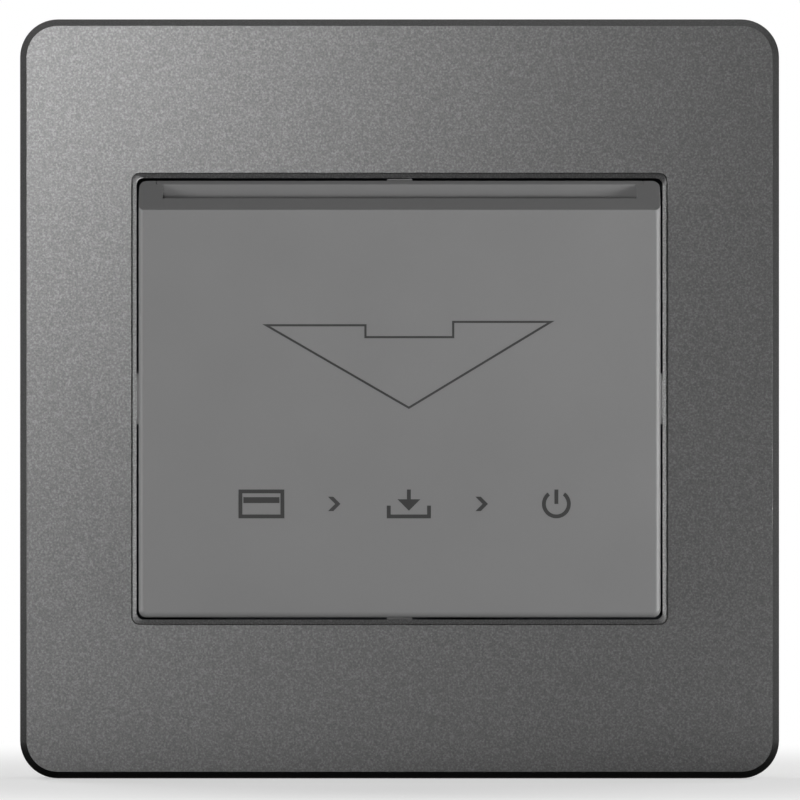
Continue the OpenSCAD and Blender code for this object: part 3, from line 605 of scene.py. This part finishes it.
def linear(colour):
    """A colour such as #808080, as the linear red, green, blue and alpha that a socket takes."""
    channels = [int(colour[i:i + 2], 16) / 255 for i in (1, 3, 5)]
    return [c / 12.92 if c <= 0.04045 else ((c + 0.055) / 1.055) ** 2.4 for c in channels] + [1]


def add_node(tree, kind, sockets=None, **settings):
    """Adds one node. A socket takes a plain value, or another node's output as a link."""
    made = tree.nodes.new(kind)
    for name, value in settings.items():
        setattr(made, name, value)
    for name, value in (sockets or {}).items():
        if isinstance(value, bpy.types.NodeSocket):
            tree.links.new(value, made.inputs[name])
        else:
            made.inputs[name].default_value = value
    return made


def empty_tree(owner):
    """Turns a material or the world to nodes, and clears them."""
    owner.use_nodes = True
    owner.node_tree.nodes.clear()
    return owner.node_tree


def new_finish(name):
    """An empty material that ends in a Principled shader."""
    material = bpy.data.materials.new(name)
    tree = empty_tree(material)
    shader = add_node(tree, "ShaderNodeBsdfPrincipled")
    add_node(tree, "ShaderNodeOutputMaterial", {"Surface": shader.outputs["BSDF"]})
    return material, tree, shader


def dress(finish, *names):
    """Gives the finish to CAD nodes or new pieces by name."""
    for name in names:
        piece = bpy.data.objects[name]
        piece.data.materials.clear()
        piece.data.materials.append(finish)
    print(finish.name, "on", ", ".join(names))

# %% [markdown]
# ### Metallic-painted polycarbonate
# Fine aluminium flakes lie nearly flat in a clear grey lacquer. They mirror a lamp only near its
# reflection, so the frame runs from pale to dark across its face, with a fine sparkle. The flakes are
# about 0.05 mm wide, too fine to show here, so the sparkle is drawn with grains of 0.2 mm.

# %% Metallic paint
flake, orange_peel, peel_depth = 0.2 * mm, 0.3 * mm, 0.01 * mm
metallic_paint, tree, shader = new_finish("metallic-painted polycarbonate")
place = add_node(tree, "ShaderNodeTexCoord")
grain = add_node(tree, "ShaderNodeTexNoise", {
    "Vector": place.outputs["Object"], "Scale": 1 / flake, "Detail": 2, "Roughness": 0.6})
tone = add_node(tree, "ShaderNodeValToRGB", {"Fac": grain.outputs["Fac"]})
for stop, share, colour in zip(tone.color_ramp.elements, noise_range, ("#6e6e6e", "#919191")):
    stop.position = share
    stop.color = linear(colour)
tone.color_ramp.elements.new(0.5).color = linear("#7b7b7b")
peel = add_node(tree, "ShaderNodeTexNoise", {
    "Vector": place.outputs["Object"], "Scale": 1 / orange_peel, "Detail": 1})
tilt = add_node(tree, "ShaderNodeBump", {
    "Height": peel.outputs["Fac"], "Strength": 0.5, "Distance": peel_depth})
tree.links.new(tone.outputs["Color"], shader.inputs["Base Color"])
tree.links.new(tilt.outputs["Normal"], shader.inputs["Normal"])
shader.inputs["Metallic"].default_value = 1
shader.inputs["Roughness"].default_value = 0.35
dress(metallic_paint, "wall_frame")

# %% [markdown]
# ### Satin polycarbonate
# The panel and the cradle are moulded in grey polycarbonate with a fine spark-eroded texture. It looks
# even and quiet, with a soft sheen along rounded edges. The texture is about 0.03 mm, which only blurs
# the sheen here, so it is drawn at 0.12 mm and kept shallow.

# %% Satin plastic
drift_size, spark_texture, spark_depth = 14 * mm, 0.12 * mm, 0.002 * mm
plastic_ior = 1.58


def satin_plastic(name, dark, light, roughness, texture=spark_texture):
    """Moulded plastic: a faint drift of tone, and a shallow spark-eroded texture."""
    finish, tree, shader = new_finish(name)
    place = add_node(tree, "ShaderNodeTexCoord")
    drift = add_node(tree, "ShaderNodeTexNoise", {
        "Vector": place.outputs["Object"], "Scale": 1 / drift_size, "Detail": 3})
    tone = add_node(tree, "ShaderNodeValToRGB", {"Fac": drift.outputs["Fac"]})
    for stop, share, colour in zip(tone.color_ramp.elements, noise_range, (dark, light)):
        stop.position = share
        stop.color = linear(colour)
    eroded = add_node(tree, "ShaderNodeTexNoise", {
        "Vector": place.outputs["Object"], "Scale": 1 / texture, "Detail": 2})
    relief = add_node(tree, "ShaderNodeBump", {
        "Height": eroded.outputs["Fac"], "Strength": 0.3, "Distance": spark_depth})
    tree.links.new(tone.outputs["Color"], shader.inputs["Base Color"])
    tree.links.new(relief.outputs["Normal"], shader.inputs["Normal"])
    shader.inputs["Roughness"].default_value = roughness
    shader.inputs["IOR"].default_value = plastic_ior
    return finish


dress(satin_plastic("satin polycarbonate", "#686868", "#6b6b6b", roughness=0.52), "card_panel_shell")
dress(satin_plastic("satin polycarbonate of the cradle", "#646464", "#686868", roughness=0.6),
      "cradle_moulding")

# %% [markdown]
# ### Ink, nylon and the pale mouldings
# The same build suits every moulded part, because each is plastic against a textured steel mould: only
# tone, gloss and the coarseness of the texture change. Pad-printing ink dries to a dark matt film. The
# support plate is nylon filled with short glass fibres, which roughen it. The rear housing and the
# terminal body are pale, so that an electrician sees the wires. Acetal slides well, so the lever and
# the plunger are made of it.

# %% Other moulded parts
mouldings = [
    ("pad-printing ink", "#171717", "#1e1e1e", 0.6, spark_texture, ["arrow_print", "signs_print"]),
    ("glass-filled nylon", "#33353a", "#404348", 0.55, 0.25 * mm, ["plate_moulding"]),
    ("pale polycarbonate", "#d8d7d0", "#dddcd5", 0.42, 0.15 * mm, ["housing_moulding"]),
    ("pale thermoplastic polyester", "#b9bcbb", "#c7cac8", 0.4, 0.15 * mm, ["terminal_moulding"]),
    ("natural acetal", "#dcdad0", "#e6e4dc", 0.32, 0.2 * mm, ["card_lever"]),
    ("red acetal", "#a32a22", "#b4342a", 0.34, 0.2 * mm, ["switch_plunger"]),
    ("black phenolic", "#1d1d1f", "#29292b", 0.5, 0.2 * mm, ["switch_case", "switch_cover"]),
    ("relay polyester", "#20456f", "#28507c", 0.3, 0.3 * mm, ["relay_case"]),
    ("black relay base", "#1b1c1e", "#26272a", 0.45, 0.2 * mm, ["relay_base"]),
    ("moulded epoxy", "#1a1a1b", "#262627", 0.6, 0.1 * mm,
     ["rectifier_diodes", "resistors", "timer_chip", "driver_transistor"]),
]
for name, dark, light, roughness, texture, pieces in mouldings:
    dress(satin_plastic(name, dark, light, roughness, texture), *pieces)

# %% [markdown]
# ### Zinc, brass, tin and spring steel
# A plated screw is bright, with a thin haze where the zinc has grown dull. Drawn wire and turned brass
# carry fine marks from the die or the tool, which break up the highlight. The marks are about 0.02 mm
# apart on the real part and are drawn at 0.1 mm, so that they show.

# %% Metals
haze_size, tool_mark, tool_depth = 1.5 * mm, 0.1 * mm, 0.002 * mm


def plain_metal(name, dark, light, roughness, haze):
    """Bright metal with a cloudy haze in its tone and gloss, and fine tool marks."""
    finish, tree, shader = new_finish(name)
    place = add_node(tree, "ShaderNodeTexCoord")
    clouds = add_node(tree, "ShaderNodeTexNoise", {
        "Vector": place.outputs["Object"], "Scale": 1 / haze_size, "Detail": 4})
    tone = add_node(tree, "ShaderNodeValToRGB", {"Fac": clouds.outputs["Fac"]})
    for stop, share, colour in zip(tone.color_ramp.elements, noise_range, (dark, light)):
        stop.position = share
        stop.color = linear(colour)
    dull = add_node(tree, "ShaderNodeMapRange", {
        "Value": clouds.outputs["Fac"], "To Min": roughness, "To Max": roughness + haze})
    marks = add_node(tree, "ShaderNodeTexNoise", {
        "Vector": place.outputs["Object"], "Scale": 1 / tool_mark})
    relief = add_node(tree, "ShaderNodeBump", {
        "Height": marks.outputs["Fac"], "Strength": 0.3, "Distance": tool_depth})
    tree.links.new(tone.outputs["Color"], shader.inputs["Base Color"])
    tree.links.new(dull.outputs["Result"], shader.inputs["Roughness"])
    tree.links.new(relief.outputs["Normal"], shader.inputs["Normal"])
    shader.inputs["Metallic"].default_value = 1
    return finish


dress(plain_metal("zinc-plated steel", "#9aa0a6", "#b9bec2", roughness=0.28, haze=0.2),
      "cradle_screws", "lever_pin", "board_screws", "housing_screws", "terminal_screws")
dress(plain_metal("turned brass", "#a88f54", "#c2a763", roughness=0.25, haze=0.2),
      "terminal_pillars")
dress(plain_metal("spring steel wire", "#8d9195", "#aeb1b4", roughness=0.25, haze=0.15),
      "return_spring")
dress(plain_metal("tinned copper", "#b3b3ae", "#cfcec8", roughness=0.3, haze=0.2),
      "switch_terminals", "relay_pins", "component_leads")

# %% [markdown]
# ### The circuit board and its sleeves
# The board is glass cloth in epoxy under green solder mask, and the weave shows faintly through the
# mask: bands along both directions of the cloth, about 0.6 mm apart. The capacitors and the varistor
# are dipped or sleeved, which leaves a smooth, wet-looking skin with a slow wave in it.

# %% Board, capacitors and varistor
weave = 0.6 * mm
wave_band = 0.3  # distance between bands of a Wave texture of scale 1
skin_wave, skin_depth = 3 * mm, 0.05 * mm
laminate, tree, shader = new_finish("green solder-mask laminate")
place = add_node(tree, "ShaderNodeTexCoord")
warp = add_node(tree, "ShaderNodeTexWave", {
    "Vector": place.outputs["Object"], "Scale": wave_band / weave, "Distortion": 1}, bands_direction="X")
weft = add_node(tree, "ShaderNodeTexWave", {
    "Vector": place.outputs["Object"], "Scale": wave_band / weave, "Distortion": 1}, bands_direction="Z")
woven = add_node(tree, "ShaderNodeMath", {
    0: warp.outputs["Fac"], 1: weft.outputs["Fac"]}, operation="MULTIPLY")
tone = add_node(tree, "ShaderNodeValToRGB", {"Fac": woven.outputs["Value"]})
tone.color_ramp.elements[0].color = linear("#14512f")
tone.color_ramp.elements[1].color = linear("#1f6a40")
tree.links.new(tone.outputs["Color"], shader.inputs["Base Color"])
shader.inputs["Roughness"].default_value = 0.3
dress(laminate, "circuit_board")


def dipped_skin(name, dark, light):
    """A dipped or shrunk skin: smooth, with a slow wave and a wet gloss."""
    finish, tree, shader = new_finish(name)
    place = add_node(tree, "ShaderNodeTexCoord")
    wave = add_node(tree, "ShaderNodeTexNoise", {
        "Vector": place.outputs["Object"], "Scale": 1 / skin_wave})
    tone = add_node(tree, "ShaderNodeValToRGB", {"Fac": wave.outputs["Fac"]})
    for stop, share, colour in zip(tone.color_ramp.elements, noise_range, (dark, light)):
        stop.position = share
        stop.color = linear(colour)
    relief = add_node(tree, "ShaderNodeBump", {
        "Height": wave.outputs["Fac"], "Strength": 0.4, "Distance": skin_depth})
    tree.links.new(tone.outputs["Color"], shader.inputs["Base Color"])
    tree.links.new(relief.outputs["Normal"], shader.inputs["Normal"])
    shader.inputs["Roughness"].default_value = 0.22
    return finish


dress(dipped_skin("yellow film-capacitor epoxy", "#b98a1f", "#c99a2c"), "film_capacitor")
dress(dipped_skin("printed can sleeve", "#1c1f2e", "#262a3b"), "electrolytic_capacitor")
dress(dipped_skin("blue varistor epoxy", "#1d4f86", "#28609c"), "varistor")

# %% [markdown]
# ## Floor, light and camera
# The photograph is a plain catalogue view, straight from the front on white. Two low, wide soft boxes
# stand far out to the left and right, about level with the switch and the right one nearer, so the
# panel is evenly lit, its round edges catch a line of light, and the strip that faces up is darker.
# A small lamp at the upper left gives the flakes their sweep, and two lamps behind light the back.
# The floor shows the soft shadow close to the switch and goes over to plain white further out.

# %% White surroundings
def seen_directly(tree):
    """One where a camera, mirror or glass ray looks, and none where light is being gathered."""
    path = add_node(tree, "ShaderNodeLightPath")
    seen = add_node(tree, "ShaderNodeMath", {
        0: path.outputs["Is Camera Ray"], 1: path.outputs["Is Glossy Ray"]}, operation="MAXIMUM")
    return add_node(tree, "ShaderNodeMath", {
        0: seen.outputs["Value"], 1: path.outputs["Is Transmission Ray"]}, operation="MAXIMUM")


scene = bpy.context.scene
scene.view_settings.view_transform = "Standard"
world = bpy.data.worlds.new("white studio")
scene.world = world
tree = empty_tree(world)
ambient = add_node(tree, "ShaderNodeBackground", {"Color": (1, 1, 1, 1), "Strength": 0.15})
white = add_node(tree, "ShaderNodeBackground", {"Color": (1, 1, 1, 1), "Strength": 1})
studio = add_node(tree, "ShaderNodeMixShader", {
    0: seen_directly(tree).outputs["Value"], 1: ambient.outputs["Background"],
    2: white.outputs["Background"]})
add_node(tree, "ShaderNodeOutputWorld", {"Surface": studio.outputs["Shader"]})

# %% Floor
floor_gap, floor_radius, round_steps = 0.05 * mm, 4, 64
shadow_near, shadow_far, near_white = 0.045, 0.13, 0.5
bpy.ops.object.select_all(action="DESELECT")
bpy.ops.mesh.primitive_circle_add(vertices=round_steps, radius=floor_radius, fill_type="NGON",
                                  location=(0, 0, 0))
floor = bpy.context.object
floor.name = "floor"
floor.location.z = cad_low.z - floor_gap
pale = bpy.data.materials.new("pale studio floor")
tree = empty_tree(pale)
place = add_node(tree, "ShaderNodeTexCoord")
away = add_node(tree, "ShaderNodeVectorMath", {0: place.outputs["Object"]}, operation="LENGTH")
far = add_node(tree, "ShaderNodeMapRange", {
    "Value": away.outputs["Value"], "From Min": shadow_near, "From Max": shadow_far,
    "To Min": near_white}, interpolation_type="SMOOTHSTEP")
matt = add_node(tree, "ShaderNodeBsdfDiffuse", {"Color": linear("#f2f2f2")})
glow = add_node(tree, "ShaderNodeEmission", {"Color": (1, 1, 1, 1), "Strength": 1})
share = add_node(tree, "ShaderNodeMath", {
    0: seen_directly(tree).outputs["Value"], 1: far.outputs["Result"]}, operation="MULTIPLY")
blend = add_node(tree, "ShaderNodeMixShader", {
    0: share.outputs["Value"], 1: matt.outputs["BSDF"], 2: glow.outputs["Emission"]})
add_node(tree, "ShaderNodeOutputMaterial", {"Surface": blend.outputs["Shader"]})
floor.data.materials.append(pale)
print("floor in mm below the middle:", round(-floor.location.z / mm, 2))

# %% Lamps
def soft_box(name, place, width, height, watts):
    """An oblong lamp that faces the switch and stays out of the picture, in metres and watts."""
    bpy.ops.object.light_add(type="AREA", location=place)
    lamp = bpy.context.object
    lamp.name = name
    lamp.rotation_euler = (-Vector(place)).to_track_quat("-Z", "Y").to_euler()
    lamp.data.shape, lamp.data.energy = "RECTANGLE", watts
    lamp.data.size, lamp.data.size_y = width, height
    lamp.visible_camera = False
    print(name, "of", watts, "W")
    return lamp


soft_box("left soft box", (-0.795, -0.431, -0.022), width=0.4, height=0.04, watts=4.5)
soft_box("right soft box", (0.368, -0.165, -0.008), width=0.178, height=0.018, watts=1.58)
soft_box("sweep lamp", (-0.1067, -0.4857, 0.0928), width=0.08, height=0.08, watts=0.415)
back_left = soft_box("back lamp left", (-0.5, 0.7, 0.5), width=0.5, height=0.5, watts=4)
back_right = soft_box("back lamp right", (0.6, 0.7, 0.4), width=0.5, height=0.5, watts=3)
back_left.visible_glossy = back_right.visible_glossy = False

# %% [markdown]
# A metal shows what stands round it, and in a white room the painted frame would be pale all over. So
# a photographer hangs a dark tent round it and lays a cloth on the floor.
# Only reflections see them here, so they take no light from the floor or the panel. The tent is
# darkest in front and lightest above. The cloth is black close to the switch, and two pale cards lie
# on it in front, to the left and right. The frame's edges show them.

# %% Dark tent for reflections
def reflected_only(card):
    """Makes the object a glowing screen that only reflections see, and returns its nodes."""
    card.visible_camera = card.visible_diffuse = card.visible_shadow = False
    card.visible_transmission = card.visible_volume_scatter = False
    screen = bpy.data.materials.new(card.name)
    tree = empty_tree(screen)
    glow = add_node(tree, "ShaderNodeEmission")
    add_node(tree, "ShaderNodeOutputMaterial", {"Surface": glow.outputs["Emission"]})
    card.data.materials.append(screen)
    print("only reflections see the", card.name)
    return tree, add_node(tree, "ShaderNodeTexCoord"), glow


tent_radius, tent_front, tent_back = 1, -0.55, 1.6
tent_rise = (-0.36, 0.51, 1.61)  # the way in which the tent grows lighter
tent_dark, tent_light, tent_strength = -0.43, 2.07, 0.25
bpy.ops.object.select_all(action="DESELECT")
bpy.ops.mesh.primitive_cylinder_add(vertices=round_steps, radius=tent_radius, depth=tent_back - tent_front,
                                    location=(0, (tent_front + tent_back) / 2, 0),
                                    rotation=(math.pi / 2, 0, 0))
tent = bpy.context.object
tent.name = "dark tent"
bpy.ops.object.transform_apply(location=True, rotation=True, scale=True)
bpy.ops.object.mode_set(mode="EDIT")
pick("FACE", lambda middle, way: way.y > mostly)
bpy.ops.mesh.delete(type="FACE")
bpy.ops.object.mode_set(mode="OBJECT")
tree, place, glow = reflected_only(tent)
upwards = add_node(tree, "ShaderNodeVectorMath", {
    0: place.outputs["Object"], 1: tent_rise}, operation="DOT_PRODUCT")
level = add_node(tree, "ShaderNodeMapRange", {
    "Value": upwards.outputs["Value"], "From Min": tent_dark, "From Max": tent_light,
    "To Max": tent_strength})
tree.links.new(level.outputs["Result"], glow.inputs["Strength"])

# %% Cloth with two pale cards for reflections
cloth_back, cloth_z = 0.6, cad_low.z - floor_gap / 2
front_start, front_full, front_strength = -0.01, -0.04, 0.32
rear_start, rear_full, rear_strength = 0.015, 0.05, 0.14
card_place = (0.12, -0.09, 0)
card_border, card_core, card_strength = 0.1, 0.05, 0.58
bpy.ops.mesh.primitive_plane_add(size=1, location=(0, (tent_front + cloth_back) / 2, cloth_z))
cloth = bpy.context.object
cloth.name = "cloth"
cloth.scale = (2 * tent_radius, cloth_back - tent_front, 1)
bpy.ops.object.transform_apply(location=True, scale=True)
tree, place, glow = reflected_only(cloth)
along = add_node(tree, "ShaderNodeSeparateXYZ", {"Vector": place.outputs["Object"]})
in_front = add_node(tree, "ShaderNodeMapRange", {
    "Value": along.outputs["Y"], "From Min": front_start, "From Max": front_full,
    "To Max": front_strength})
behind = add_node(tree, "ShaderNodeMapRange", {
    "Value": along.outputs["Y"], "From Min": rear_start, "From Max": rear_full,
    "To Max": rear_strength})
level = add_node(tree, "ShaderNodeMath", {0: in_front.outputs["Result"], 1: behind.outputs["Result"]})
sideways = add_node(tree, "ShaderNodeMath", {0: along.outputs["X"]}, operation="ABSOLUTE")
mirrored = add_node(tree, "ShaderNodeCombineXYZ", {
    "X": sideways.outputs["Value"], "Y": along.outputs["Y"]})
from_card = add_node(tree, "ShaderNodeVectorMath", {
    0: mirrored.outputs["Vector"], 1: card_place}, operation="DISTANCE")
card_level = add_node(tree, "ShaderNodeMapRange", {
    "Value": from_card.outputs["Value"], "From Min": card_border, "From Max": card_core,
    "To Max": card_strength})
level = add_node(tree, "ShaderNodeMath", {0: level.outputs["Value"], 1: card_level.outputs["Result"]})
tree.links.new(level.outputs["Value"], glow.inputs["Strength"])

# %% Camera
picture_px, frame_px = 800, 760.2
shown_w = outer * picture_px / frame_px
camera_away = 1.2
aim_x, aim_z = 0.05 * mm, -0.14 * mm
aim = Vector((aim_x, y_face, aim_z))
bpy.ops.object.camera_add(location=aim - Vector((0, camera_away, 0)), rotation=(math.pi / 2, 0, 0))
camera = bpy.context.object
camera.data.sensor_width = 36
camera.data.lens = camera.data.sensor_width * camera_away / shown_w
scene.camera = camera
print("lens in mm:", round(camera.data.lens, 1))
